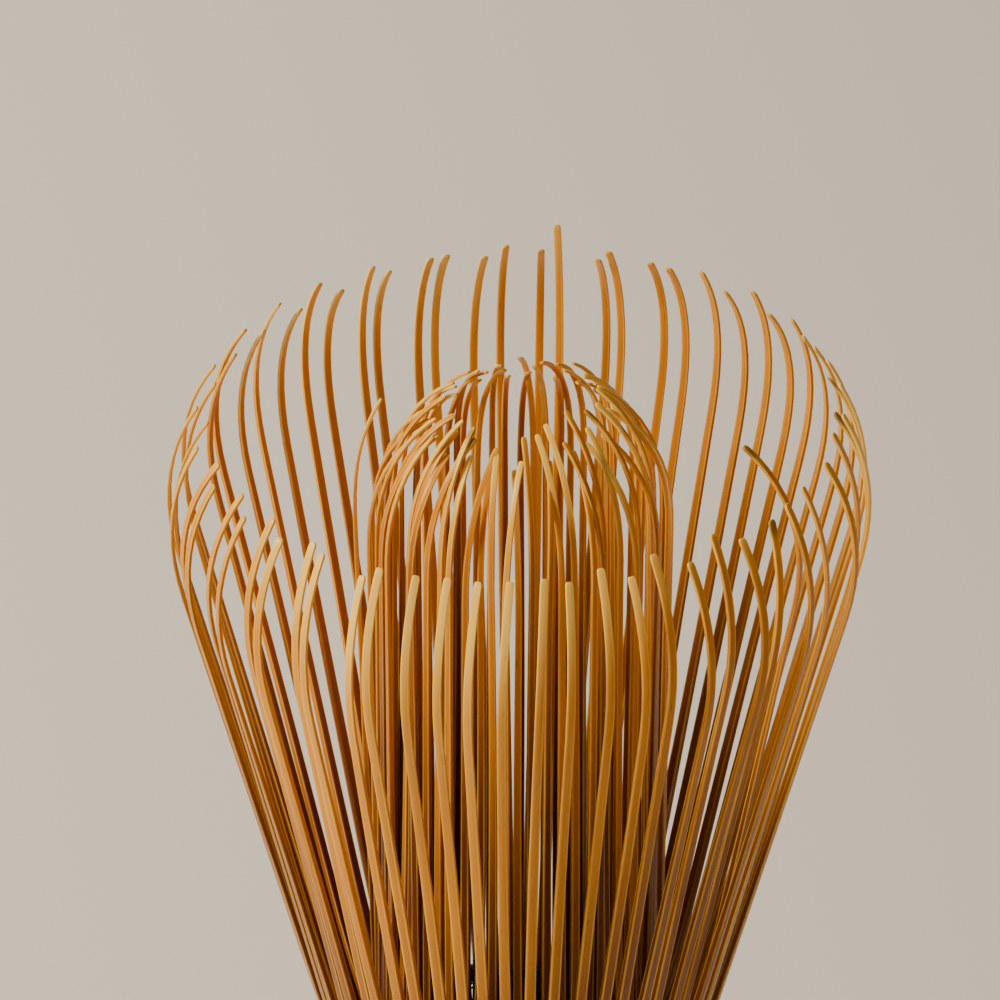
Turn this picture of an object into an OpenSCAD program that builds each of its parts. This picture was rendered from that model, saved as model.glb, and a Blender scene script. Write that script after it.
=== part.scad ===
// Bamboo tea whisk, standing on the foot of its handle with the tines up.
// One culm of bamboo is split above its joint into an outer ring of tines that
// belly out and curl back in at their tips, and an inner ring that closes into
// a dome. A cotton thread, woven at the root of the tines, holds the rings apart.
// The origin is the centre of the foot, +Z runs up the axis, and units are mm.

/* [Handle] */
// Height of the culm from its foot to where the splits begin
handle_h = 44; // [36:0.5:60]
// Radius of the culm's skin
handle_r = 12.4; // [10.2:0.1:16]
// Thickness of the culm's wall
wall = 4.6; // [3:0.1:6]
// Height of the culm's joint above the foot
joint_z = 23; // [18:0.5:29]
// How far the ridge at the joint stands proud of the skin
ridge_h = 0.7; // [0.3:0.1:1.5]
// Height of the ridge at the joint
ridge_w = 3.2; // [2:0.1:6]
// Thickness of the woody wall that closes the culm at its joint
diaphragm = 2.6; // [1.5:0.1:5]
// Round-over on the edges of the foot
foot_edge = 0.6; // [0.2:0.1:1.5]
// Length over which the wall is pared down to a thin shell below the splits
pared_len = 8; // [4:0.5:10]

/* [Crown] */
// Height of the split crown, from the bottom of the splits to the thread
crown_h = 9.5; // [7:0.5:14]
// How far the outer ring has spread from the skin where the thread holds it
spread_out = 1.1; // [0.6:0.1:2]
// How far the inner ring has closed from the skin where the thread holds it
spread_in = 1.0; // [0.9:0.1:2]
// Radial thickness of a split finger at the top of the crown
finger_t = 0.9; // [0.6:0.1:1]
// Space left between the top of the crown and the free tines
root_gap = 0.3; // [0.2:0.05:0.6]

/* [Tines] */
// Number of tines in each ring, a multiple of the 16 first splits
tines_per_ring = 64; // [64]
// Length over which a tine settles from its lean at the thread to its own
settle_len = 16; // [8:1:24]
// Thickness of a tine at its root
tine_root_t = 0.7; // [0.5:0.05:0.8]
// Thickness of a tine at its pared tip
tine_tip_t = 0.3; // [0.2:0.05:0.5]
// How much the tips of the outer tines differ in their distance from the axis
uneven_r = 0.5; // [0:0.1:0.8]
// How much the tines differ in curl, in degrees
uneven_curl = 4; // [0:1:8]
// How much the outer tines differ in sideways sway, in degrees
uneven_sway = 0.2; // [0:0.05:0.4]
// How far the two outer tines of a pair sway towards each other, in degrees
gather = 0.45; // [0:0.05:0.5]
// Direction in which the pairs draw together most, in degrees round the axis from +X
gather_side = 110; // [-180:5:180]
// How far the outer tines part to each side of their thin side, in degrees
parting = 1.7; // [0:0.1:1.8]
// Direction of the thin side, in degrees round the axis from +X
thin_side = 180; // [-180:15:180]
// How much longer the tines are on their long side, and shorter on the other
lopsided = 0.9; // [0:0.1:2]
// Direction of the long side, in degrees round the axis from +X
long_side = -45; // [-180:15:180]

/* [Outer ring] */
// Length of an outer tine above the thread
outer_len = 65; // [54:0.5:78]
// How much the outer tines differ in length
outer_uneven_len = 0.5; // [0:0.1:0.8]
// Width of an outer tine at its root
outer_root_w = 0.95; // [0.6:0.05:1]
// Width of an outer tine at its tip
outer_tip_w = 0.58; // [0.4:0.02:0.7]
// Radius of the ring of outer tips
outer_tip_r = 23.6; // [19.6:0.1:28.4]
// How far the outer tines lean out more at the thread than above it, in degrees
outer_settle = 5.3; // [0:0.1:8]
// How far an outer tine's tip is turned back in, in degrees
outer_curl = 50; // [36:1:60]
// Length of the curled stretch at the tip of an outer tine
outer_curl_len = 15; // [12:0.5:24]
// How late and sharp that curl sets in
outer_sharpness = 1.4; // [1:0.1:3]

/* [Inner ring] */
// Length of an inner tine above the thread
inner_len = 64.5; // [53.5:0.5:77.5]
// How much the inner tines differ in length
inner_uneven_len = 1.3; // [0:0.1:1.5]
// How much further in a longer inner tine ends, for each mm of its extra length
inner_follow = 0.6; // [0:0.1:0.8]
// Width of an inner tine at its root
inner_root_w = 0.8; // [0.5:0.05:0.85]
// Width of an inner tine at its tip
inner_tip_w = 0.4; // [0.3:0.02:0.5]
// Radius of the ring of inner tips
inner_tip_r = 6.1; // [6:0.1:8]
// How far the inner tines lean in more at the thread than above it, in degrees
inner_settle = 2.6; // [0:0.1:4]
// How far an inner tine's tip is turned in, in degrees
inner_curl = 60; // [44:1:64]
// Length of the curled stretch at the tip of an inner tine
inner_curl_len = 12.5; // [11:0.5:20]
// How late and sharp that curl sets in
inner_sharpness = 1.6; // [1:0.1:3]

/* [Thread] */
// Radius of the cotton thread
thread_r = 0.35; // [0.25:0.05:0.5]
// How deep the thread bites into the bamboo
thread_bite = 0.05; // [0:0.01:0.1]
// Space between the rows of thread
row_gap = 0.02; // [0.02:0.01:0.3]
// Space between the upper row and the roots of the tines
thread_gap = 0.3; // [0.25:0.05:0.6]

/* [Hidden] */
SPLITS = 16;
STEPS = 12;
PER_SPLIT = tines_per_ring / SPLITS;
PITCH = 360 / tines_per_ring;
function two_digits(n) = n < 10 ? str("0", n) : str(n);
OUTER_NODES = [for (k = [1:SPLITS]) str("outer_tines_", two_digits(k))];
INNER_NODES = [for (k = [1:SPLITS]) str("inner_tines_", two_digits(k))];
$fn = 96;

bore_r = handle_r - wall;
outer_root_r = handle_r + spread_out;
inner_root_r = handle_r - spread_in;
root_z = handle_h + crown_h;
crown_top = root_z - root_gap;
// Height at which the fingers part on the inside of the crown
split_z = handle_h + 1.5;
// How far the leaning root of a tine dips below the root's own height
root_dip = 0.15;
crown_out_r = outer_root_r + finger_t / 2;
crown_in_r = inner_root_r - finger_t / 2;
// Width of the gaps that part the fingers of each ring at the crown
outer_gap_w = 2 * PI * outer_root_r / tines_per_ring - outer_root_w;
inner_gap_w = 2 * PI * inner_root_r / tines_per_ring - inner_root_w;
// The rows of thread lie on the crown just below the roots of the tines
thread_top_z = root_z - thread_gap - thread_r - root_dip;
thread_low_z = thread_top_z - 2 * thread_r - row_gap;

OUTER = 0;
INNER = 1;
// Tines that stand apart from their ring, chosen by eye:
// [ring, number, more reach at the tip, more curl, more length, sideways sway]
STRAYS = [
    // A tall straight one at the back, and its neighbour
    [OUTER, 16, 0.2, -22, 1, 0],
    [OUTER, 17, 0.2, -4, 0.4, 0],
    // A short one at the front
    [OUTER, 44, 0, 0, -1.2, 0],
    // A straighter one at the right
    [OUTER, 58, 0.3, -14, -1.4, -0.3],
    // One at the right that is bent inwards
    [OUTER, 61, -6, 24, 0.6, 0],
    // One alone between the rings at the left
    [INNER, 33, 4.6, -26, -0.4, 0],
    // Short ones among the inner ring
    [INNER, 46, 0.7, -8, -3.4, 0],
    [INNER, 49, 0.9, -6, -3.6, 0],
    [INNER, 60, 2, -14, -1.6, 0]
];
IN_LINE = [0, 0, 0, 0, 0, 0];
function stray(ring, i) =
    let (hits = [for (s = STRAYS) if (s[0] == ring && s[1] == i) s])
    len(hits) > 0 ? hits[0] : IN_LINE;

// Repeatable unevenness between -1 and 1, of several kinds, for tine i
function uneven(i, kind) = sin((137.5 + 23 * kind) * i + 70 * kind);

// Where tine i of a ring stands round the axis; inner tines fall between outer ones
function tine_angle(ring, i) =
    PITCH * (i - (PER_SPLIT - 1) / 2 + (ring == INNER ? 0.5 : 0));

// Lean at distance s from the root, apart from the lean that aims the whole tine
function lean_at(s, length, settle, curl, curl_len, sharpness) =
    let (e = min(s / settle_len, 1), t = max((s - length + curl_len) / curl_len, 0))
    settle * pow(1 - e, 2) - curl * pow(t, sharpness);

// Distances along a tine, closer together towards the curled tip
function stations(length) = [for (k = [0:STEPS]) length * (1 - pow(1 - k / STEPS, 1.5))];

// Centreline of a tine in its own upright plane, from its root
function centreline(length, settle, curl, curl_len, sharpness) =
    let (s = stations(length))
    [for (k = 0, p = [0, 0];
          k <= STEPS;
          p = k < STEPS
              ? let (a = lean_at((s[k] + s[k + 1]) / 2,
                                 length, settle, curl, curl_len, sharpness))
                p + (s[k + 1] - s[k]) * [sin(a), cos(a)]
              : p,
          k = k + 1) p];

// The same line turned about its root until its tip is at a distance from the root's upright
function aimed(path, reach) =
    let (tip = path[len(path) - 1],
         turn = asin(reach / norm(tip)) - atan2(tip[0], tip[1]))
    [for (p = path) [p[0] * cos(turn) + p[1] * sin(turn), p[1] * cos(turn) - p[0] * sin(turn)]];

// Outline of a tine, thick at the root and pared thin at the tip
function tine_outline(path) =
    let (n = len(path) - 1,
         half = [for (k = [0:n]) (tine_root_t + (tine_tip_t - tine_root_t) * k / n) / 2],
         run = [for (k = [0:n]) path[min(k + 1, n)] - path[max(k - 1, 0)]],
         out = [for (k = [0:n]) half[k] * [run[k][1], -run[k][0]] / norm(run[k])])
    concat([for (k = [0:n]) path[k] + out[k]], [for (k = [n:-1:0]) path[k] - out[k]]);

// Front view of a tine, wide at the root and narrower at its tip's height
function tapered(root_w, tip_w, height) =
    let (over = 1, less = (root_w - tip_w) / height * over)
    [[-(root_w + less) / 2, -over], [(root_w + less) / 2, -over],
     [(tip_w - less) / 2, height + over], [-(tip_w - less) / 2, height + over]];

// Sideways sway of outer tine i, which stands at angle phi
function outer_sway(i, phi) =
    gather * (i % 2 == 0 ? -1 : 1) * (1 + cos(phi - gather_side)) / 2
    + uneven_sway * uneven(i, 4)
    - parting * sin(2 * (phi - thin_side)) * max(cos(phi - thin_side), 0);

module tine(ring, i) {
    odd = stray(ring, i);
    phi = tine_angle(ring, i);
    inner = ring == INNER;
    root_r = inner ? inner_root_r : outer_root_r;
    longer = (inner ? inner_uneven_len : outer_uneven_len) * uneven(i, 1 + 4 * ring);
    length = (inner ? inner_len : outer_len) + longer
        + lopsided * cos(phi - long_side) + odd[4];
    reach = (inner ? inner_tip_r - inner_follow * longer : outer_tip_r) - root_r
        + uneven_r * (inner ? 0.4 : 1) * uneven(i, 2 + 4 * ring) + odd[2];
    curl = (inner ? inner_curl : outer_curl) + uneven_curl * uneven(i, 3 + 4 * ring) + odd[3];
    sway = (inner ? 0 : outer_sway(i, phi)) + odd[5];
    path = inner
        ? centreline(length, -inner_settle, curl, inner_curl_len, inner_sharpness)
        : centreline(length, outer_settle, curl, outer_curl_len, outer_sharpness);
    line = aimed(path, reach);
    rotate([0, 0, phi])
        translate([root_r, 0, root_z])
            rotate([90 + sway, 0, 0])
                intersection() {
                    linear_extrude(2 * outer_root_w, center = true)
                        polygon(tine_outline(line));
                    rotate([0, 90, 0])
                        linear_extrude(3 * outer_tip_r, center = true)
                            polygon(inner
                                ? tapered(inner_root_w, inner_tip_w, line[STEPS][1])
                                : tapered(outer_root_w, outer_tip_w, line[STEPS][1]));
                }
}

module tine_bundle(ring, split) {
    for (j = [0:PER_SPLIT - 1]) tine(ring, PER_SPLIT * split + j);
}

module outer_tines(split) {
    color([0.87, 0.62, 0.28]) tine_bundle(OUTER, split);
}

module inner_tines(split) {
    color([0.83, 0.55, 0.20]) tine_bundle(INNER, split);
}

// Skin of the crown, sweeping out from the culm to the lean of the outer tines
function crown_skin() =
    [for (k = [0:6]) [handle_r + (crown_out_r - handle_r) * pow(k / 6, 2),
                      handle_h + (crown_top - handle_h) * k / 6]];

module culm_profile() {
    polygon(concat(
        [[bore_r + foot_edge, 0],
         [handle_r - foot_edge, 0],
         [handle_r, foot_edge],
         [handle_r, joint_z - ridge_w / 2],
         [handle_r + ridge_h, joint_z - ridge_w / 6],
         [handle_r + ridge_h, joint_z + ridge_w / 6],
         [handle_r, joint_z + ridge_w / 2]],
        crown_skin(),
        [[crown_in_r, crown_top],
         [crown_in_r, handle_h + 1],
         [bore_r, handle_h + 1 - pared_len],
         [bore_r, joint_z + diaphragm / 2],
         [0, joint_z + diaphragm / 2],
         [0, joint_z - diaphragm / 2],
         [bore_r, joint_z - diaphragm / 2],
         [bore_r, foot_edge]]));
}

// A gap through the crown at one angle, the extrusion of an upright outline
module crown_gap(phi, width, outline) {
    rotate([0, 0, phi])
        rotate([90, 0, 0])
            linear_extrude(width, center = true)
                polygon(outline);
}

// Radius of the outer face of the inner fingers at height z
function inner_finger_r(z) =
    let (low_r = handle_r + 0.1, high_r = inner_root_r + finger_t / 2)
    low_r + (high_r - low_r) * (z - handle_h) / (crown_top - handle_h);

// Radius of the inner face of the outer fingers at height z
function outer_finger_r(z) =
    let (low_r = crown_in_r - 0.1, high_r = outer_root_r - finger_t / 2)
    low_r + (high_r - low_r) * (z - split_z) / (crown_top - split_z);

module handle_culm() {
    // Outside the inner fingers, and inside the outer ones
    outside = [[inner_finger_r(handle_h), handle_h], [inner_finger_r(root_z), root_z],
               [crown_out_r + 1, root_z], [crown_out_r + 1, handle_h]];
    inside = [[outer_finger_r(split_z), split_z], [outer_finger_r(root_z), root_z],
              [crown_in_r - 1, root_z], [crown_in_r - 1, split_z]];
    color([0.76, 0.52, 0.22])
        difference() {
            rotate_extrude() culm_profile();
            for (i = [0:tines_per_ring - 1]) {
                crown_gap(tine_angle(INNER, i), outer_gap_w, outside);
                crown_gap(tine_angle(OUTER, i), inner_gap_w, inside);
            }
        }
}

// Radius of the crown's skin at height z
function crown_skin_r(z) =
    handle_r + (crown_out_r - handle_r) * pow((z - handle_h) / (crown_top - handle_h), 2);

module thread_ring(radius, z) {
    color([0.12, 0.11, 0.11])
        rotate_extrude() translate([radius, z]) circle(thread_r, $fn = 24);
}

module thread_lower_row() {
    thread_ring(crown_skin_r(thread_low_z) + thread_r - thread_bite, thread_low_z);
}

module thread_upper_row() {
    thread_ring(crown_skin_r(thread_top_z) + thread_r - thread_bite, thread_top_z);
}

// Turns of thread between the two rings, which hold them apart
module thread_spacer() {
    low_r = inner_finger_r(thread_top_z) - thread_bite;
    high_r = outer_finger_r(thread_top_z) + thread_bite;
    color([0.12, 0.11, 0.11])
        rotate_extrude()
            translate([(low_r + high_r) / 2, thread_top_z])
                circle((high_r - low_r) / 2, $fn = 24);
}

// The thread's end, tied off against the lower row
module thread_knot() {
    color([0.12, 0.11, 0.11])
        rotate([0, 0, 90])
            translate([crown_skin_r(thread_low_z) + 2.4 * thread_r, 0, thread_low_z - thread_r])
                sphere(1.6 * thread_r, $fn = 32);
}

handle_culm();
for (k = [0:SPLITS - 1]) {
    outer_tines(k);
    inner_tines(k);
}
thread_lower_row();
thread_upper_row();
thread_spacer();
thread_knot();
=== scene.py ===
"""A bamboo tea whisk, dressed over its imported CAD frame.

One culm of bamboo is split into an outer ring of tines that belly out and curl back in,
and an inner ring that closes into a dome. A black cotton thread is woven at their roots.
Everything is in metres, in the frame's own axes, with the whisk standing on +Z.
"""

import math

import bpy
from mathutils import Matrix, Vector


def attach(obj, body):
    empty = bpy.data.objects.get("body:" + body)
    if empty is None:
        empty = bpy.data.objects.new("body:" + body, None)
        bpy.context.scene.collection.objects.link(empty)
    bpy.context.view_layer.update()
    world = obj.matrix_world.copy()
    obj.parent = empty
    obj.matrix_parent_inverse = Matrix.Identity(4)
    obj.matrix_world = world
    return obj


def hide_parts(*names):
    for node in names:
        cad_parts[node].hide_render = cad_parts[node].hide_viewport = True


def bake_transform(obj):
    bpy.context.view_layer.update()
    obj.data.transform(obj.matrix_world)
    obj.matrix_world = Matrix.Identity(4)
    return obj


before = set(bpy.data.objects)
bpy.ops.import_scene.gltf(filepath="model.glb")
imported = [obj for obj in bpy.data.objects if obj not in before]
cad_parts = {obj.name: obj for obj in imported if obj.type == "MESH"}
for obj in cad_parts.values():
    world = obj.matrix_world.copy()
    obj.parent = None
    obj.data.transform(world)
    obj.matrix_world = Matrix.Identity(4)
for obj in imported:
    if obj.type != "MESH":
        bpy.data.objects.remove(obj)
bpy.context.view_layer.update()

MM = 0.001
TAU = 2 * math.pi

# ---------------------------------------------------------------- sizes, in mm

SPLITS = 16
TINES = 64
PER_SPLIT = TINES // SPLITS
PITCH = 360 / TINES

HANDLE_R = 12.4
BORE_R = 7.8
JOINT_Z = 23.0
# Half the thickness of the woody wall that closes the culm at its joint
WALL_HALF = 1.3
SPLIT_Z = 44.0
ROOT_Z = 53.5
OUTER_ROOT_R = 13.5
INNER_ROOT_R = 11.4
THREAD_TOP_Z = 52.70
THREAD_LOW_Z = 51.98
THREAD_R = 0.33


def uneven(i, kind):
    """Repeatable unevenness between -1 and 1, of several kinds, for tine i."""
    return math.sin(math.radians((137.5 + 23 * kind) * i + 70 * kind))


class Ring:
    """How the tines of one ring are cut and curled, in line with the CAD's."""

    def __init__(self, **facts):
        self.__dict__.update(facts)


OUTER = Ring(
    name="outer", kinds=0, root_r=OUTER_ROOT_R, turn=0.0, length=65.0,
    split_w=0.62, thread_w=0.84, root_w=0.92, tip_w=0.60,
    tip_r=23.6, settle=5.3, curl=50.0, curl_len=15.0, sharpness=1.4, uneven_len=0.5,
    follow=0.0, uneven_reach=0.5, wander=0.5, twist=12.0)
INNER = Ring(
    name="inner", kinds=4, root_r=INNER_ROOT_R, turn=0.5, length=64.5,
    split_w=0.56, thread_w=0.72, root_w=0.78, tip_w=0.44,
    tip_r=6.1, settle=-2.6, curl=60.0, curl_len=12.5, sharpness=1.6, uneven_len=1.3,
    follow=0.6, uneven_reach=0.2, wander=0.8, twist=20.0)
# Radius at which the fingers leave the culm's wall
FINGER_LOW_R = 11.86
SETTLE_LEN = 16.0
LOPSIDED = 0.9
LONG_SIDE = -45.0
UNEVEN_CURL = 4.0
UNEVEN_SWAY = 0.2
GATHER = 0.45
GATHER_SIDE = 110.0
PARTING = 1.7
THIN_SIDE = 180.0
# How far a tine bows sideways, and the length at its tip over which it wanders
BOW = 0.22
WANDER_LEN = 14.0
# Thickness of a tine at its root, what it gains down to the split and loses to the tip
ROOT_T = 0.70
SPLIT_GAIN_T = 0.35
PARED_T = 0.46
# Stretch above the thread over which a tine widens to its full width
WIDEN_LEN = 4
BLANK_STEPS = 34

# Tines that stand apart: more reach at the tip, more curl, more length, sway
STRAYS = {
    # A tall straight one at the back, and its neighbour
    ("outer", 16): (0.2, -22, 1.0, 0),
    ("outer", 17): (0.2, -4, 0.4, 0),
    # A short one at the front
    ("outer", 44): (0, 0, -1.2, 0),
    # A straighter one at the right
    ("outer", 58): (0.3, -14, -1.4, -0.3),
    # One at the right that is bent inwards
    ("outer", 61): (-6.0, 24, 0.6, 0),
    # One alone between the rings at the left
    ("inner", 33): (4.6, -26, -0.4, 0),
    # Short ones among the inner ring
    ("inner", 46): (0.7, -8, -3.4, 0),
    ("inner", 49): (0.9, -6, -3.6, 0),
    ("inner", 60): (2.0, -14, -1.6, 0),
}

# Tines whose very ends are darker
DARK_TIPPED = ({("inner", i) for i in (2, 4, 7, 42, 43, 59, 60)}
           | {("outer", i) for i in (1, 3, 58, 61)})


# ---------------------------------------------------------------- the bench


def only(*things):
    """Leaves just these objects selected, the first of them active."""
    bpy.ops.object.select_all(action="DESELECT")
    for thing in things:
        thing.select_set(True)
    bpy.context.view_layer.objects.active = things[0]


def settle(piece):
    """Puts a piece's place into its mesh."""
    only(piece)
    bpy.ops.object.transform_apply(location=True, rotation=True, scale=True)


def apply_all(piece):
    """Applies a piece's modifiers in order."""
    only(piece)
    for modifier in list(piece.modifiers):
        bpy.ops.object.modifier_apply(modifier=modifier.name)


def pick_edges(piece, test):
    """Selects the edges whose two ends pass a test, ready for edit mode."""
    mesh = piece.data
    bpy.context.tool_settings.mesh_select_mode = (False, True, False)
    for face in mesh.polygons:
        face.select = False
    for vertex in mesh.vertices:
        vertex.select = False
    for edge in mesh.edges:
        ends = [mesh.vertices[v].co for v in edge.vertices]
        edge.select = test(*ends)


def own_copy(piece, name):
    """A copy of a piece with a mesh of its own."""
    twin = piece.copy()
    twin.data = piece.data.copy()
    twin.name = name
    twin.data.name = name
    bpy.context.collection.objects.link(twin)
    return twin


def smooth(piece, degrees):
    """Shades a piece smooth, apart from edges sharper than an angle."""
    only(piece)
    bpy.ops.object.shade_smooth_by_angle(angle=math.radians(degrees))


def light_colour(r, g, b):
    """A shader colour from its everyday 0-255 values."""
    def linear(c):
        c = c / 255
        return c / 12.92 if c <= 0.04045 else ((c + 0.055) / 1.055) ** 2.4
    return (linear(r), linear(g), linear(b), 1.0)


# ---------------------------------------------------------------- camera, floor, light

CAMERA_RISE = math.radians(33.7)
CAMERA_AWAY = 420.0
CAMERA_AIM = Vector((-1.48, 0.0, 107.9))

bpy.ops.object.camera_add()
camera = bpy.context.object
camera.name = "camera"
camera.data.lens = 200
camera.data.sensor_width = 36
camera.data.clip_start = 0.01
camera.data.clip_end = 50
toward = Vector((0.0, -math.cos(CAMERA_RISE), math.sin(CAMERA_RISE)))
camera.location = (CAMERA_AIM + CAMERA_AWAY * toward) * MM
camera.rotation_euler = (math.pi / 2 - CAMERA_RISE, 0, 0)
bpy.context.scene.camera = camera


def soft_light(name, place, aim, size, watts, colour):
    bpy.ops.object.light_add(type="AREA", location=place)
    lamp = bpy.context.object
    lamp.name = name
    lamp.data.shape = "DISK"
    lamp.data.size = size
    lamp.data.energy = watts
    lamp.data.color = colour
    lamp.rotation_euler = (Vector(aim) - Vector(place)).to_track_quat("-Z", "Y").to_euler()
    return lamp


WHISK_MIDDLE = (0, 0, 0.085)
soft_light("key_light", (-0.64, -0.20, 0.56), WHISK_MIDDLE, 0.30, 11.5, (1.0, 0.89, 0.72))
soft_light("fill_light", (0.75, -0.45, 0.40), WHISK_MIDDLE, 0.8, 0.5, (1.0, 0.92, 0.80))
soft_light("back_light", (-0.35, 0.62, 0.55), WHISK_MIDDLE, 0.5, 4.0, (1.0, 0.91, 0.78))

world = bpy.data.worlds.new("studio")
world.use_nodes = True
world.node_tree.nodes["Background"].inputs["Color"].default_value = (0.90, 0.82, 0.70, 1)
world.node_tree.nodes["Background"].inputs["Strength"].default_value = 0.18
bpy.context.scene.world = world

bpy.ops.mesh.primitive_circle_add(vertices=96, radius=4.0, fill_type="NGON")
floor = bpy.context.object
floor.name = "floor"
floor_paint = bpy.data.materials.new("pale_floor")
floor_paint.use_nodes = True
floor_shader = floor_paint.node_tree.nodes["Principled BSDF"]
floor_shader.inputs["Base Color"].default_value = (0.66, 0.61, 0.55, 1)
floor_shader.inputs["Roughness"].default_value = 0.75
floor.data.materials.append(floor_paint)


# ---------------------------------------------------------------- shader benches


def new_group(name, ins, outs):
    """A shader node group with its sockets; ins and outs are (name, kind, value)."""
    group = bpy.data.node_groups.new(name, "ShaderNodeTree")
    for label, kind, value in ins:
        socket = group.interface.new_socket(label, in_out="INPUT", socket_type=kind)
        if value is not None:
            socket.default_value = value
    for label, kind in outs:
        group.interface.new_socket(label, in_out="OUTPUT", socket_type=kind)
    entry = group.nodes.new("NodeGroupInput")
    exit_ = group.nodes.new("NodeGroupOutput")
    return group, entry.outputs, exit_.inputs


FLOAT = "NodeSocketFloat"
COLOUR = "NodeSocketColor"
VECTOR = "NodeSocketVector"


class Desk:
    """Lays nodes in one tree, with short words for the common ones."""

    def __init__(self, tree):
        self.tree = tree

    def join(self, source, target):
        self.tree.links.new(source, target)

    def put(self, socket, value):
        if isinstance(value, bpy.types.NodeSocket):
            self.join(value, socket)
        else:
            socket.default_value = value

    def node(self, kind, **settings):
        made = self.tree.nodes.new(kind)
        for key, value in settings.items():
            setattr(made, key, value)
        return made

    def maths(self, what, a, b=0.0, clamp=False):
        made = self.node("ShaderNodeMath", operation=what, use_clamp=clamp)
        self.put(made.inputs[0], a)
        self.put(made.inputs[1], b)
        return made.outputs[0]

    def ramp(self, value, low, high, to_low=0.0, to_high=1.0):
        """Eases a value between two marks."""
        made = self.node("ShaderNodeMapRange", interpolation_type="SMOOTHSTEP")
        self.put(made.inputs["Value"], value)
        self.put(made.inputs["From Min"], low)
        self.put(made.inputs["From Max"], high)
        self.put(made.inputs["To Min"], to_low)
        self.put(made.inputs["To Max"], to_high)
        return made.outputs[0]

    def mix(self, share, a, b, how="MIX"):
        made = self.node("ShaderNodeMix", data_type="RGBA", blend_type=how)
        self.put(made.inputs[0], share)
        self.put(made.inputs[6], a)
        self.put(made.inputs[7], b)
        return made.outputs[2]

    def noise(self, where, scale, detail=2.0, rough=0.5):
        made = self.node("ShaderNodeTexNoise")
        self.put(made.inputs["Vector"], where)
        self.put(made.inputs["Scale"], scale)
        self.put(made.inputs["Detail"], detail)
        self.put(made.inputs["Roughness"], rough)
        return made.outputs["Fac"]

    def cells(self, where, scale):
        made = self.node("ShaderNodeTexVoronoi")
        self.put(made.inputs["Vector"], where)
        self.put(made.inputs["Scale"], scale)
        return made.outputs["Distance"]

    def stretch(self, where, x, y, z):
        made = self.node("ShaderNodeMapping")
        self.put(made.inputs["Vector"], where)
        made.inputs["Scale"].default_value = (x, y, z)
        return made.outputs["Vector"]

    def group(self, group, **values):
        made = self.node("ShaderNodeGroup", node_tree=group)
        for label, value in values.items():
            self.put(made.inputs[label.replace("_", " ")], value)
        return made.outputs


def make_fibre_grain():
    """Long bamboo fibres: the given vector has the grain along its X."""
    group, take, give = new_group(
        "bamboo_fibre_grain",
        [("Along Grain", VECTOR, None), ("Fibre Scale", FLOAT, 1.0)],
        [("Streaks", FLOAT), ("Fine", FLOAT), ("Flecks", FLOAT), ("Height", FLOAT)])
    desk = Desk(group)
    grain = desk.node("ShaderNodeVectorMath", operation="SCALE")
    desk.join(take["Along Grain"], grain.inputs[0])
    desk.join(take["Fibre Scale"], grain.inputs["Scale"])
    where = grain.outputs["Vector"]
    broad = desk.noise(desk.stretch(where, 60, 900, 900), 1.0, 3.0)
    fine = desk.noise(desk.stretch(where, 180, 5200, 5200), 1.0, 4.0, 0.6)
    spots = desk.noise(desk.stretch(where, 420, 2600, 2600), 1.0, 1.0)
    desk.join(desk.ramp(broad, 0.34, 0.68), give["Streaks"])
    desk.join(desk.ramp(fine, 0.30, 0.70), give["Fine"])
    desk.join(desk.ramp(spots, 0.72, 0.78), give["Flecks"])
    lift = desk.maths("ADD", desk.maths("MULTIPLY", broad, 0.4), fine)
    desk.join(lift, give["Height"])
    return group


def make_bamboo_tone():
    """Bamboo's colour from its own mellowing and from painted light and shade, its fibres, and
    its pale cut edges, which also carry a painted highlight.
    """
    group, take, give = new_group(
        "bamboo_tone",
        [("Pale", COLOUR, None), ("Golden", COLOUR, None), ("Deep", COLOUR, None),
         ("Mellow", FLOAT, 0.5), ("Streaks", FLOAT, 0.5), ("Fine", FLOAT, 0.5),
         ("Flecks", FLOAT, 0.0), ("Cut", FLOAT, 0.0)],
        [("Colour", COLOUR), ("Roughness", FLOAT)])
    desk = Desk(group)
    # This share mixes the bamboo's own mellowing with painted light: a painted highlight
    # towards Pale, painted shade towards Deep
    light = desk.mix(desk.ramp(take["Mellow"], 0.0, 0.5), take["Pale"], take["Golden"])
    body = desk.mix(desk.ramp(take["Mellow"], 0.5, 1.0), light, take["Deep"])
    fibre = desk.maths("MULTIPLY", take["Fine"], 0.20)
    darker = desk.mix(0.55, body, take["Deep"], "MULTIPLY")
    streaked = desk.mix(desk.maths("MULTIPLY", take["Streaks"], 0.38), body, darker)
    fibred = desk.mix(fibre, streaked, darker)
    flecked = desk.mix(desk.maths("MULTIPLY", take["Flecks"], 0.45), fibred,
                       light_colour(72, 40, 16))
    # Cut edges turn paler: partly the split bamboo's own colour, partly a painted highlight
    # along the edges
    lightened = desk.mix(desk.maths("MULTIPLY", take["Cut"], 0.5), flecked, take["Pale"])
    desk.join(lightened, give["Colour"])
    rough = desk.maths("ADD", desk.maths("MULTIPLY", take["Fine"], 0.14),
                       desk.maths("MULTIPLY", take["Cut"], 0.16))
    desk.join(desk.maths("ADD", rough, 0.30), give["Roughness"])
    return group


FIBRE_GRAIN = make_fibre_grain()
BAMBOO_TONE = make_bamboo_tone()

# PALE colours the tips and is partly a painted highlight; DEEP is painted shade at the roots
# and also darkens the fibre streaks
PALE = light_colour(255, 204, 92)
GOLDEN = light_colour(216, 142, 16)
DEEP = light_colour(132, 70, 4)


def new_material(name):
    material = bpy.data.materials.new(name)
    material.use_nodes = True
    shader = material.node_tree.nodes["Principled BSDF"]
    return material, Desk(material.node_tree), shader


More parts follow.
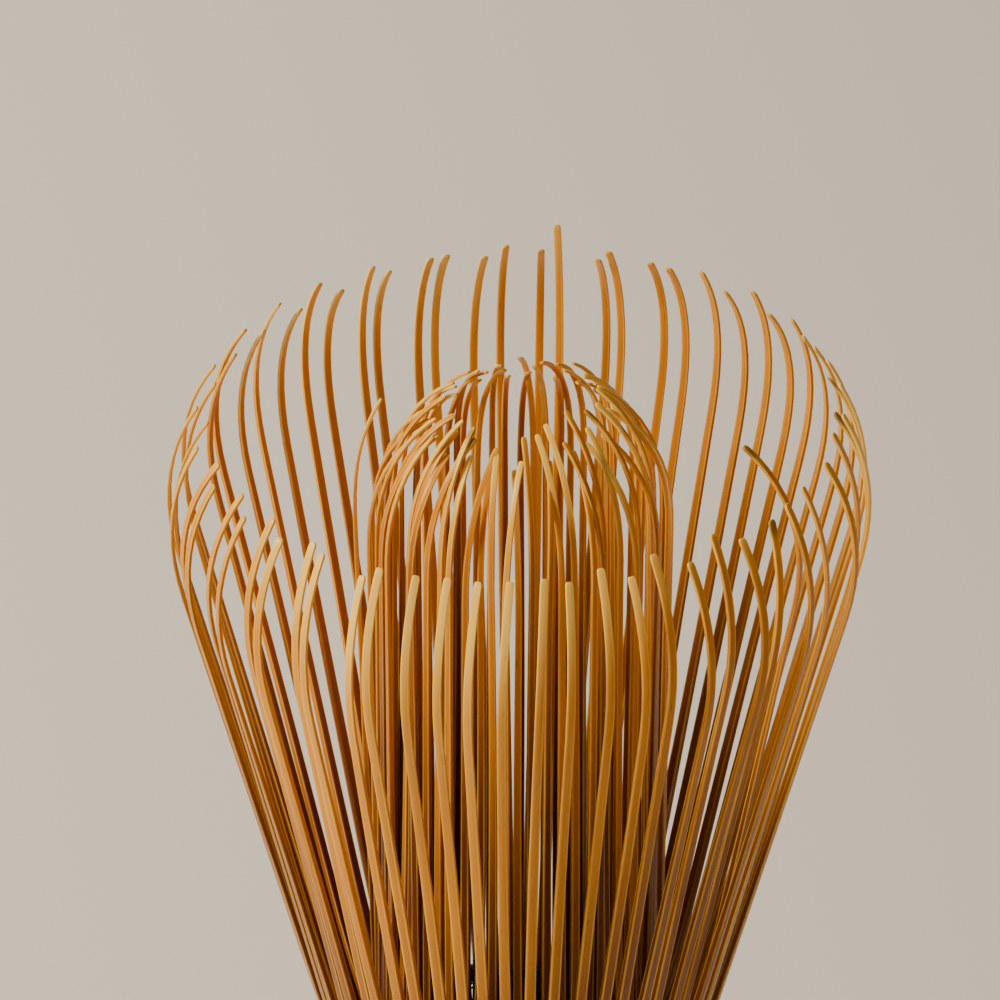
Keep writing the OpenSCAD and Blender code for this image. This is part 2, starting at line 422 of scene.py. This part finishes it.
def bump(desk, shader, height, depth, strength=1.0):
    made = desk.node("ShaderNodeBump")
    made.inputs["Strength"].default_value = strength
    made.inputs["Distance"].default_value = depth
    desk.join(height, made.inputs["Height"])
    desk.join(made.outputs["Normal"], shader.inputs["Normal"])


def let_light_in(shader, share, depth):
    """Lets a little light through thin bamboo."""
    shader.inputs["Subsurface Weight"].default_value = share
    shader.inputs["Subsurface Radius"].default_value = (1.0, 0.55, 0.22)
    shader.inputs["Subsurface Scale"].default_value = depth


def make_tine_bamboo(name, pale_from, gold_at, deep_at, pale, golden, deep):
    """Bamboo of the tines: deep at the root with painted shade, golden above, pale at the pared
    tip, which is partly a painted highlight.
    """
    material, desk, shader = new_material(name)
    lay = desk.node("ShaderNodeUVMap", uv_map="grain")
    parts = desk.node("ShaderNodeSeparateXYZ")
    desk.join(lay.outputs["UV"], parts.inputs[0])
    along = parts.outputs["X"]
    across = desk.maths("ABSOLUTE", desk.maths("SUBTRACT", parts.outputs["Y"], 0.5))
    tone = desk.node("ShaderNodeAttribute", attribute_name="tone").outputs["Fac"]
    skin = desk.node("ShaderNodeAttribute", attribute_name="skin").outputs["Fac"]
    grain_lay = desk.node("ShaderNodeCombineXYZ")
    desk.join(desk.maths("MULTIPLY", along, 0.075), grain_lay.inputs["X"])
    desk.join(desk.maths("MULTIPLY", parts.outputs["Y"], 0.0007), grain_lay.inputs["Y"])
    desk.join(desk.maths("MULTIPLY", tone, 0.37), grain_lay.inputs["Z"])
    fibre = desk.group(FIBRE_GRAIN, Along_Grain=grain_lay.outputs[0], Fibre_Scale=1.0)
    # Paler towards the tip: partly the pared bamboo's own colour, partly a painted highlight
    to_gold = desk.ramp(along, gold_at, pale_from, 0.50, 0.02)
    # Deeper towards the root: painted shade where the tines crowd together at the thread
    to_deep = desk.ramp(along, deep_at, gold_at, 0.46, 0.0)
    mellow_and_painted_light = desk.maths("ADD", to_gold, to_deep)
    mellow_and_painted_light = desk.maths("ADD", mellow_and_painted_light, desk.ramp(tone, 0.0, 1.0, -0.16, 0.22), clamp=True)
    # Paler cut edges: partly the split bamboo's own colour, partly a painted highlight along
    # each edge
    edge = desk.ramp(across, 0.36, 0.5)
    drift = desk.noise(grain_lay.outputs[0], 46.0, 2.0)
    cut = desk.maths("MULTIPLY", edge, desk.ramp(drift, 0.35, 0.65, 0.35, 1.0))
    tint = desk.group(BAMBOO_TONE, Pale=pale, Golden=golden, Deep=deep, Mellow=mellow_and_painted_light,
                      Streaks=fibre["Streaks"], Fine=fibre["Fine"],
                      Flecks=fibre["Flecks"], Cut=cut)
    # A few ends are darker
    dark_tipped = desk.node("ShaderNodeAttribute", attribute_name="dark_tipped").outputs["Fac"]
    dark_end = desk.maths("MULTIPLY", dark_tipped, desk.ramp(along, 0.976, 0.992, 0.0, 0.6))
    desk.join(desk.mix(dark_end, tint["Colour"], light_colour(70, 50, 18)),
              shader.inputs["Base Color"])
    sheen = desk.maths("MULTIPLY", skin, -0.08)
    desk.join(desk.maths("ADD", tint["Roughness"], sheen), shader.inputs["Roughness"])
    bump(desk, shader, fibre["Height"], 0.03 * MM, 0.6)
    let_light_in(shader, 0.25, 0.7 * MM)
    shader.inputs["Specular IOR Level"].default_value = 0.28
    shader.inputs["Specular Tint"].default_value = (1.0, 0.82, 0.56, 1.0)
    return material


# Deep colours at the roots are painted shade; the inner ring's is darker, for the shade inside
# the crown
OUTER_BAMBOO = make_tine_bamboo("bamboo_of_outer_tines", 1.03, 0.84, 0.24,
                                PALE, GOLDEN, DEEP)
INNER_BAMBOO = make_tine_bamboo("bamboo_of_inner_tines", 1.05, 0.86, 0.30,
                                light_colour(252, 200, 84), light_colour(210, 132, 10),
                                light_colour(104, 42, 0))


def make_culm_bamboo():
    """The culm's skin, its sawn ends and the woody inside of its bore."""
    material, desk, shader = new_material("bamboo_of_culm")
    place = desk.node("ShaderNodeTexCoord").outputs["Object"]
    parts = desk.node("ShaderNodeSeparateXYZ")
    desk.join(place, parts.inputs[0])
    height = parts.outputs["Z"]
    radius = desk.maths("SQRT", desk.maths(
        "ADD", desk.maths("MULTIPLY", parts.outputs["X"], parts.outputs["X"]),
        desk.maths("MULTIPLY", parts.outputs["Y"], parts.outputs["Y"])))
    upright = desk.node("ShaderNodeCombineXYZ")
    desk.join(height, upright.inputs["X"])
    desk.join(parts.outputs["X"], upright.inputs["Y"])
    desk.join(parts.outputs["Y"], upright.inputs["Z"])
    fibre = desk.group(FIBRE_GRAIN, Along_Grain=upright.outputs[0], Fibre_Scale=0.8)
    drift = desk.noise(desk.stretch(place, 60, 60, 26), 1.0, 3.0)
    mellow_and_painted_light = desk.ramp(drift, 0.3, 0.7, 0.16, 0.46)
    # The skin browns round the joint; towards the splits it darkens with painted shade,
    # matching the painted shade at the tine roots
    near = desk.maths("ABSOLUTE", desk.maths("SUBTRACT", height, JOINT_Z * MM))
    ringed = desk.ramp(near, 0.6 * MM, 3.6 * MM, 0.34, 0.0)
    tops = desk.ramp(height, 33 * MM, SPLIT_Z * MM, 0.0, 0.42)
    mellow_and_painted_light = desk.maths("ADD", mellow_and_painted_light, desk.maths("ADD", ringed, tops), clamp=True)
    tint = desk.group(BAMBOO_TONE, Pale=light_colour(228, 188, 112),
                      Golden=light_colour(200, 138, 48), Deep=light_colour(128, 72, 14),
                      Mellow=mellow_and_painted_light, Streaks=fibre["Streaks"], Fine=fibre["Fine"],
                      Flecks=fibre["Flecks"], Cut=0.0)
    # Bundles of fibre show as dots on the sawn foot and on the joint's woody wall
    normal = desk.node("ShaderNodeNewGeometry")
    facing = desk.node("ShaderNodeSeparateXYZ")
    desk.join(normal.outputs["Normal"], facing.inputs[0])
    level = desk.ramp(desk.maths("ABSOLUTE", facing.outputs["Z"]), 0.7, 0.95)
    level = desk.maths("MULTIPLY", level, desk.ramp(height, 38 * MM, 42 * MM, 1.0, 0.0))
    dots = desk.cells(desk.stretch(place, 1, 1, 0.001), 1500)
    dot = desk.maths("SUBTRACT", 1.0, desk.ramp(dots, 0.16, 0.34))
    dot = desk.maths("MULTIPLY", dot, desk.ramp(radius, 7 * MM, 12 * MM, 0.35, 1.0))
    sawn = desk.mix(dot, light_colour(222, 190, 132), light_colour(104, 62, 28))
    skinned = desk.mix(level, tint["Colour"], sawn)
    # The bore is paler and papery; its brown is partly its own colour and partly painted shade
    # in the hollow
    inside = desk.maths("SUBTRACT", 1.0,
                        desk.ramp(radius, (BORE_R + 0.3) * MM, (BORE_R + 3.4) * MM))
    inside = desk.maths("MULTIPLY", inside, desk.maths("SUBTRACT", 1.0, level))
    papery = desk.mix(fibre["Streaks"], light_colour(184, 136, 74),
                      light_colour(120, 78, 34))
    desk.join(desk.mix(inside, skinned, papery), shader.inputs["Base Color"])
    rough = desk.maths("ADD", tint["Roughness"], desk.maths("MULTIPLY", level, 0.25))
    rough = desk.maths("ADD", rough, desk.maths("MULTIPLY", inside, 0.25), clamp=True)
    desk.join(rough, shader.inputs["Roughness"])
    relief = desk.maths("SUBTRACT", fibre["Height"], desk.maths("MULTIPLY", dot, level))
    bump(desk, shader, relief, 0.05 * MM, 0.6)
    let_light_in(shader, 0.10, 0.8 * MM)
    shader.inputs["Specular IOR Level"].default_value = 0.32
    shader.inputs["Specular Tint"].default_value = (1.0, 0.86, 0.64, 1.0)
    shader.inputs["Coat Weight"].default_value = 0.08
    shader.inputs["Coat Roughness"].default_value = 0.26
    return material


CULM_BAMBOO = make_culm_bamboo()


def make_cotton():
    """Matt black cotton, plied from three strands."""
    material, desk, shader = new_material("black_cotton")
    place = desk.node("ShaderNodeTexCoord").outputs["Object"]
    fuzz = desk.noise(place, 9000, 4.0, 0.7)
    drift = desk.noise(place, 300, 2.0)
    lightened = desk.ramp(desk.maths("MULTIPLY", fuzz, drift), 0.16, 0.36)
    colour = desk.mix(lightened, light_colour(22, 20, 21), light_colour(62, 57, 56))
    desk.join(colour, shader.inputs["Base Color"])
    desk.join(desk.ramp(fuzz, 0.3, 0.7, 0.78, 0.95), shader.inputs["Roughness"])
    shader.inputs["Specular IOR Level"].default_value = 0.25
    shader.inputs["Sheen Weight"].default_value = 0.35
    shader.inputs["Sheen Roughness"].default_value = 0.5
    bump(desk, shader, fuzz, 0.05 * MM, 0.8)
    return material


COTTON = make_cotton()


# ---------------------------------------------------------------- the culm


def turn_profile(name, path, steps=96):
    """Lathes a closed body by drawing one loop of edges up, out and in along a path."""
    r, z = path[0]
    bpy.ops.mesh.primitive_circle_add(vertices=steps, radius=r * MM, location=(0, 0, z * MM))
    piece = bpy.context.object
    piece.name = name
    settle(piece)
    bpy.ops.object.mode_set(mode="EDIT")
    bpy.ops.mesh.select_all(action="SELECT")
    bpy.ops.mesh.extrude_region_move()
    bpy.ops.mesh.merge(type="CENTER")
    bpy.ops.mesh.select_all(action="DESELECT")
    bpy.ops.object.mode_set(mode="OBJECT")
    pick_edges(piece, lambda a, b: a.xy.length > 0.01 * MM and b.xy.length > 0.01 * MM)
    bpy.ops.object.mode_set(mode="EDIT")
    for next_r, next_z in path[1:]:
        bpy.ops.mesh.extrude_region_move(
            TRANSFORM_OT_translate={"value": (0, 0, (next_z - z) * MM)})
        bpy.ops.transform.resize(value=(next_r / r, next_r / r, 1),
                                 center_override=(0, 0, next_z * MM))
        r, z = next_r, next_z
    bpy.ops.mesh.extrude_region_move()
    bpy.ops.mesh.merge(type="CENTER")
    bpy.ops.mesh.select_all(action="SELECT")
    bpy.ops.mesh.remove_doubles(threshold=0.001 * MM)
    bpy.ops.mesh.normals_make_consistent(inside=False)
    bpy.ops.object.mode_set(mode="OBJECT")
    return piece


def culm_path():
    """Out from the middle of the joint's wall, down the foot's bore, up the skin and in."""
    below = JOINT_Z - WALL_HALF
    above = JOINT_Z + WALL_HALF
    bore = [(0.6, below + 0.1), (3.0, below + 0.05), (5.6, below - 0.1), (6.9, below - 0.45),
            (7.5, below - 1.1), (BORE_R, below - 2.2), (BORE_R, 16), (BORE_R, 12),
            (BORE_R, 8), (BORE_R, 4), (BORE_R, 1.2), (BORE_R + 0.12, 0.5),
            (BORE_R + 0.35, 0.15), (BORE_R + 0.6, 0.0)]
    foot = [(9.6, 0.0), (10.8, 0.0), (HANDLE_R - 0.6, 0.0), (HANDLE_R - 0.3, 0.08),
            (HANDLE_R - 0.1, 0.28), (HANDLE_R, 0.6)]
    skin = [(HANDLE_R, z) for z in (2.5, 5, 8, 11, 14, 17)]
    joint = [(12.41, 19.0), (12.46, 20.2), (12.54, 21.0), (12.66, 21.5), (12.92, 21.72),
             (12.98, 21.86), (12.96, 22.02), (12.78, 22.14), (12.60, 22.26), (12.58, 22.42),
             (12.72, 22.62), (12.94, 22.90), (13.06, 23.20), (13.08, 23.50), (12.98, 23.84),
             (12.78, 24.20), (12.58, 24.60), (12.46, 25.10), (12.41, 25.8)]
    neck = [(HANDLE_R, z) for z in (27.5, 30, 33, 36, 39, 41, 42.5, 43.4, 43.8)]
    rim = [(HANDLE_R - 0.03, 43.98), (HANDLE_R - 0.22, 44.08), (12.0, 44.1), (11.4, 44.1),
           (11.1, 44.0), (10.9, 43.6)]
    inside = [(10.4, 42.5), (9.5, 40.5), (8.6, 38.5), (7.95, 37.0), (BORE_R, 35.5),
              (BORE_R, 32), (BORE_R, 28.5), (BORE_R, above + 2.0), (7.5, above + 1.0),
              (6.9, above + 0.4), (5.6, above + 0.1), (3.0, above), (0.6, above - 0.05)]
    return bore + foot + skin + joint + neck + rim + inside


def make_culm():
    culm = turn_profile("bamboo_culm_handle", culm_path(), 128)
    # A grown culm is never quite round
    for scale, depth in ((14.0, 0.22), (3.5, 0.07)):
        lumps = bpy.data.textures.new("grown_" + str(scale), "CLOUDS")
        lumps.noise_scale = scale * MM
        swell = culm.modifiers.new("grown", "DISPLACE")
        swell.texture = lumps
        swell.texture_coords = "LOCAL"
        swell.strength = depth * MM
        swell.mid_level = 0.5
    apply_all(culm)
    smooth(culm, 50)
    culm.data.materials.append(CULM_BAMBOO)
    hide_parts("handle_culm")
    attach(culm, "handle")
    return culm


# ---------------------------------------------------------------- the tines


def tine_angle(ring, i):
    return PITCH * (i - (PER_SPLIT - 1) / 2 + ring.turn)


def lean_at(ring, s, length, curl):
    """Lean of a tine from upright, in degrees, at distance s from its root."""
    eased = min(s / SETTLE_LEN, 1)
    late = max((s - length + ring.curl_len) / ring.curl_len, 0)
    return ring.settle * (1 - eased) ** 2 - curl * late ** ring.sharpness


def centreline(ring, length, curl, reach, steps=64):
    """Points (out from the root, up from the root, distance along) of a tine's middle."""
    path = [(0.0, 0.0, 0.0)]
    for k in range(steps):
        a, b = (length * (1 - (1 - j / steps) ** 1.5) for j in (k, k + 1))
        lean = math.radians(lean_at(ring, (a + b) / 2, length, curl))
        out, up, _ = path[-1]
        path.append((out + (b - a) * math.sin(lean), up + (b - a) * math.cos(lean), b))
    tip_out, tip_up, _ = path[-1]
    turn = math.asin(reach / math.hypot(tip_out, tip_up)) - math.atan2(tip_out, tip_up)
    return [(x * math.cos(turn) + z * math.sin(turn),
             z * math.cos(turn) - x * math.sin(turn), s) for x, z, s in path]


FINGER_FOOT = ROOT_Z - SPLIT_Z + 1.0
FINGER_STEPS = 10


def tine_path(ring, i):
    """The whole middle line of a tine, from inside the culm's wall through the thread."""
    more_reach, more_curl, more_length, more_sway = STRAYS.get((ring.name, i), (0, 0, 0, 0))
    phi = tine_angle(ring, i)
    longer = ring.uneven_len * uneven(i, 1 + ring.kinds)
    length = (ring.length + longer + more_length
              + LOPSIDED * math.cos(math.radians(phi - LONG_SIDE)))
    reach = (ring.tip_r - ring.follow * longer - ring.root_r
             + ring.uneven_reach * uneven(i, 2 + ring.kinds) + more_reach)
    curl = ring.curl + UNEVEN_CURL * uneven(i, 3 + ring.kinds) + more_curl
    sway = more_sway + (outer_sway(i, phi) if ring is OUTER else 0)
    free = centreline(ring, length, curl, reach)
    # Below the thread the finger runs down to the split, in line with the culm's skin
    slope = free[1][0] / free[1][1]
    finger = []
    for k in range(FINGER_STEPS):
        up = -FINGER_FOOT * (1 - k / FINGER_STEPS)
        finger.append((finger_out(ring, up, slope), up, up))
    side = math.tan(math.radians(-sway))
    points = []
    for out, up, s in finger + free:
        along = max(s, 0) / length
        late = max((s - length + WANDER_LEN) / WANDER_LEN, 0)
        across = (side * max(up, 0) + BOW * uneven(i, 12) * math.sin(math.pi * along)
                  + ring.wander * uneven(i, 11 + ring.kinds) * late ** 2)
        twist = math.radians(ring.twist * uneven(i, 13) * along)
        points.append((up, out, across, twist))
    return points, length


def outer_sway(i, phi):
    """Sideways sway of outer tine i, in degrees: pairs draw together, and the ring parts."""
    pair = GATHER * (2 * (i % 2) - 1) * (1 + math.cos(math.radians(phi - GATHER_SIDE))) / 2
    off = math.radians(phi - THIN_SIDE)
    part = PARTING * math.sin(2 * off) * max(math.cos(off), 0)
    return pair + UNEVEN_SWAY * uneven(i, 4) - part


def finger_out(ring, up, slope):
    """How far out a finger's middle is from its root, upright at the split and easing out."""
    low = FINGER_LOW_R - ring.root_r
    share = 1 + up / FINGER_FOOT
    buried = max(SPLIT_Z - ROOT_Z - up, 0)
    return (low * (2 * share ** 3 - 3 * share ** 2 + 1)
            + slope * FINGER_FOOT * (share ** 3 - share ** 2) - 0.5 * buried)


def make_blank(ring, name):
    """A straight tine lying along X: wide across Z, thick across Y, drawn out and pared."""
    start = -FINGER_FOOT
    end = ring.length
    marks = [start, start + 0.95] + [start + FINGER_FOOT * k / 6 for k in range(1, 7)]
    marks += [end * (1 - (1 - k / BLANK_STEPS) ** 1.35) for k in range(1, BLANK_STEPS)]
    marks += [end - 0.30, end - 0.08, end]

    def width(s):
        if s <= 0:
            return ring.thread_w + (ring.split_w - ring.thread_w) * min(-s / FINGER_FOOT, 1)
        if s < WIDEN_LEN:
            return ring.thread_w + (ring.root_w - ring.thread_w) * s / WIDEN_LEN
        share = (s - WIDEN_LEN) / (end - WIDEN_LEN)
        taper = ring.root_w + (ring.tip_w - ring.root_w) * share
        return taper * (0.62 if s >= end else 0.86 if s > end - 0.2 else 1)

    def thick(s):
        if s <= 0:
            return ROOT_T + SPLIT_GAIN_T * min(-s / FINGER_FOOT, 1)
        taper = ROOT_T - PARED_T * (s / end) ** 0.8
        return taper * (0.6 if s >= end else 0.86 if s > end - 0.2 else 1)

    bpy.ops.mesh.primitive_plane_add(size=1, location=(start * MM, 0, 0),
                                     rotation=(0, math.pi / 2, 0))
    blank = bpy.context.object
    blank.name = name
    settle(blank)
    bpy.ops.object.mode_set(mode="EDIT")
    bpy.ops.mesh.select_all(action="SELECT")
    bpy.ops.transform.resize(value=(1, thick(start) * MM, width(start) * MM))
    for a, b in zip(marks, marks[1:]):
        bpy.ops.mesh.extrude_region_move(TRANSFORM_OT_translate={"value": ((b - a) * MM, 0, 0)})
        bpy.ops.transform.resize(value=(1, thick(b) / thick(a), width(b) / width(a)),
                                 center_override=(b * MM, 0, 0))
    bpy.ops.mesh.select_all(action="SELECT")
    bpy.ops.mesh.normals_make_consistent(inside=False)
    bpy.ops.object.mode_set(mode="OBJECT")
    pick_edges(blank, lambda a, b: abs(a.x - b.x) > 0.01 * MM)
    bpy.ops.object.mode_set(mode="EDIT")
    bpy.ops.mesh.bevel(offset=0.085 * MM, segments=2, profile=0.6)
    bpy.ops.object.mode_set(mode="OBJECT")
    smooth(blank, 48)
    mark_grain(blank, start * MM, end * MM)
    return blank


def mark_grain(blank, start, end):
    """Lays the grain map, along and across, and marks the skin side of a tine."""
    mesh = blank.data
    while mesh.uv_layers:
        mesh.uv_layers.remove(mesh.uv_layers[0])
    lay = mesh.uv_layers.new(name="grain")
    skin = mesh.attributes.new("skin", "FLOAT", "FACE")
    for face in mesh.polygons:
        flat = abs(face.normal.y) > 0.9 or abs(face.normal.z) > 0.9
        axis = 2 if abs(face.normal.y) > abs(face.normal.z) else 1
        skin.data[face.index].value = 1.0 if face.normal.y > 0.5 else 0.0
        for corner in face.loop_indices:
            co = mesh.vertices[mesh.loops[corner].vertex_index].co
            side = 1.0 if co[axis] > 0 else 0.0
            if not flat:
                side = 0.0
            lay.data[corner].uv = ((co.x - start) / (end - start), side)


# X of a straight tine stands up, Y points out from the axis and Z round it
UPRIGHT = Matrix(((0, 1, 0, 0), (0, 0, 1, 0), (1, 0, 0, 0), (0, 0, 0, 1)))


def bend_tine(blank, ring, i):
    """Bends one copy of the straight tine along its own line and stands it in its ring."""
    points, length = tine_path(ring, i)
    line = bpy.data.curves.new("tine_line", "CURVE")
    line.dimensions = "3D"
    line.twist_mode = "MINIMUM"
    spline = line.splines.new("POLY")
    spline.points.add(len(points) - 1)
    for point, (up, out, across, twist) in zip(spline.points, points):
        point.co = (up * MM, out * MM, across * MM, 1)
        point.tilt = twist
    guide = bpy.data.objects.new("tine_line", line)
    bpy.context.collection.objects.link(guide)
    tine = own_copy(blank, ring.name + "_tine")
    # The curve modifier counts from the line's start, at the split
    tine.data.transform(Matrix.Translation((FINGER_FOOT * MM, 0, 0)))
    trim = (FINGER_FOOT + length) / (FINGER_FOOT + ring.length)
    tine.data.transform(Matrix.Diagonal((trim, 1, 1, 1)))
    bend = tine.modifiers.new("bend", "CURVE")
    bend.object = guide
    bend.deform_axis = "POS_X"
    apply_all(tine)
    phi = math.radians(tine_angle(ring, i))
    tine.matrix_world = (Matrix.Rotation(phi, 4, "Z")
                         @ Matrix.Translation((ring.root_r * MM, 0, ROOT_Z * MM)) @ UPRIGHT)
    settle(tine)
    shade = 0.5 + 0.5 * uneven(i, 9 + ring.kinds)
    for label, value in (("tone", shade), ("dark_tipped", 1.0 * ((ring.name, i) in DARK_TIPPED))):
        mark = tine.data.attributes.new(label, "FLOAT", "POINT")
        mark.data.foreach_set("value", [value] * len(tine.data.vertices))
    bpy.data.objects.remove(guide)
    bpy.data.curves.remove(line)
    return tine


def make_tine_group(blank, ring, split, bamboo):
    """The tines of one of the maker's first splits, which bend together at the thread."""
    number = "%02d" % (split + 1)
    tines = [bend_tine(blank, ring, PER_SPLIT * split + j) for j in range(PER_SPLIT)]
    only(*tines)
    bpy.ops.object.join()
    group = tines[0]
    group.name = ring.name + "_tine_group_" + number
    group.data.name = group.name
    group.data.materials.clear()
    group.data.materials.append(bamboo)
    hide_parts(ring.name + "_tines_" + number)
    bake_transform(group)
    return group


# ---------------------------------------------------------------- the thread

# Middle radius of the woven rows, and how far they swing in and out of it
ROW_R = 13.48
WEAVE = 0.80
# The thread wound between the rings
WOUND_R = 12.1
WOUND_LOW_Z = 51.62
WOUND_HIGH_Z = 53.06
WOUND_TURNS = 3.2
WOUND_THREAD_R = 0.25
# The knot at the back: its distance out, its drop below the lower row and its size
KNOT_OUT = 14.95
KNOT_DROP = 0.35
KNOT_SIZE = 0.36
KNOT_THREAD_R = 0.24
KNOT_LAY = 1.3


def ply_profile(radius):
    """Outline of a thread plied from three strands."""
    shape = bpy.data.curves.new("ply", "CURVE")
    shape.dimensions = "2D"
    spline = shape.splines.new("POLY")
    count = 12
    spline.points.add(count - 1)
    for k, point in enumerate(spline.points):
        a = TAU * k / count
        r = radius * (0.84 + 0.16 * math.cos(3 * a)) * MM
        point.co = (r * math.cos(a), r * math.sin(a), 0, 1)
    spline.use_cyclic_u = True
    outline = bpy.data.objects.new("ply", shape)
    bpy.context.collection.objects.link(outline)
    return outline


def lay_thread(name, points, radius, closed, lay_length=1.9):
    """Draws a plied thread along points, in mm, twisting as it goes."""
    outline = ply_profile(radius)
    line = bpy.data.curves.new(name, "CURVE")
    line.dimensions = "3D"
    line.twist_mode = "Z_UP"
    line.bevel_mode = "OBJECT"
    line.bevel_object = outline
    line.use_fill_caps = not closed
    spline = line.splines.new("POLY")
    spline.points.add(len(points) - 1)
    run = 0.0
    whole = sum(math.dist(a, b) for a, b in zip(points, points[1:] + points[:1]))
    turns = round(whole / lay_length) if closed else whole / lay_length
    for k, point in enumerate(spline.points):
        point.co = (points[k][0] * MM, points[k][1] * MM, points[k][2] * MM, 1)
        point.tilt = TAU * turns * run / whole
        run += math.dist(points[k], points[(k + 1) % len(points)])
    spline.use_cyclic_u = closed
    thread = bpy.data.objects.new(name, line)
    bpy.context.collection.objects.link(thread)
    only(thread)
    bpy.ops.object.convert(target="MESH")
    thread = bpy.context.object
    bpy.data.objects.remove(outline)
    only(thread)
    bpy.ops.object.mode_set(mode="EDIT")
    bpy.ops.mesh.select_all(action="SELECT")
    bpy.ops.mesh.remove_doubles(threshold=0.001 * MM)
    bpy.ops.mesh.normals_make_consistent(inside=False)
    bpy.ops.object.mode_set(mode="OBJECT")
    bpy.ops.object.shade_smooth()
    thread.data.materials.clear()
    thread.data.materials.append(COTTON)
    return thread


def round_point(r, degrees, z):
    a = math.radians(degrees)
    return (r * math.cos(a), r * math.sin(a), z)


def woven_row(phase, z, steps=14):
    """A row that passes in front of one tine and behind the next."""
    points = []
    for k in range(TINES * steps):
        turn = 360 * k / (TINES * steps)
        weave = math.cos(math.radians(TINES / 2 * (turn + 1.5 * PITCH) + phase))
        weave = math.copysign(abs(weave) ** 0.7, weave)
        points.append(round_point(ROW_R + WEAVE * weave, turn, z))
    return points


def wound_turns(r, low, high, turns, steps=72):
    """Thread wound round and round between the two rings."""
    count = int(turns * steps)
    return [round_point(r + 0.02 * math.sin(5 * TAU * k / steps), 100 + 360 * k / steps,
                        low + (high - low) * k / count) for k in range(count + 1)]


def knot_line(size, steps=60):
    """An overhand knot with two short tails: X across, Y up, Z towards the viewer."""
    loops = []
    for k in range(steps + 1):
        t = 0.42 + (TAU - 0.84) * k / steps
        loops.append((math.sin(t) + 2 * math.sin(2 * t), math.cos(t) - 2 * math.cos(2 * t),
                      -1.25 * math.sin(3 * t)))
    left = [(-3.0, -11.0, 0.6), (-3.2, -8.2, 1.1), (-2.6, -5.4, 0.9), (-1.3, -3.2, 0.6),
            (0.2, -1.9, -0.3), (1.2, -1.1, -0.9)]
    right = [(-1.2, -1.2, 0.8), (-0.1, -2.0, 0.3), (0.9, -3.3, -0.5), (1.3, -5.2, -0.9),
             (0.9, -7.4, -0.7), (1.4, -8.9, -0.2)]
    return [tuple(size * v for v in point) for point in left + loops + right]


def make_thread():
    low = lay_thread("woven_thread_lower_row", woven_row(0, THREAD_LOW_Z), THREAD_R, True)
    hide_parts("thread_lower_row")
    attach(low, "handle")
    top = lay_thread("woven_thread_upper_row", woven_row(180, THREAD_TOP_Z), THREAD_R, True)
    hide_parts("thread_upper_row")
    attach(top, "handle")
    wound = wound_turns(WOUND_R, WOUND_LOW_Z, WOUND_HIGH_Z, WOUND_TURNS)
    between = lay_thread("wound_thread_between_rings", wound, WOUND_THREAD_R, False)
    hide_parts("thread_spacer")
    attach(between, "handle")
    # The tied end sits at the back, on the lower row
    line = [(-x, KNOT_OUT + z, THREAD_LOW_Z - KNOT_DROP + y)
            for x, y, z in knot_line(KNOT_SIZE)]
    knot = lay_thread("thread_knot_and_tails", line, KNOT_THREAD_R, False, KNOT_LAY)
    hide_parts("thread_knot")
    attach(knot, "handle")


make_culm()
outer_blank = make_blank(OUTER, "outer_blank")
inner_blank = make_blank(INNER, "inner_blank")
for split in range(SPLITS):
    make_tine_group(outer_blank, OUTER, split, OUTER_BAMBOO)
    make_tine_group(inner_blank, INNER, split, INNER_BAMBOO)
bpy.data.objects.remove(outer_blank)
bpy.data.objects.remove(inner_blank)
make_thread()
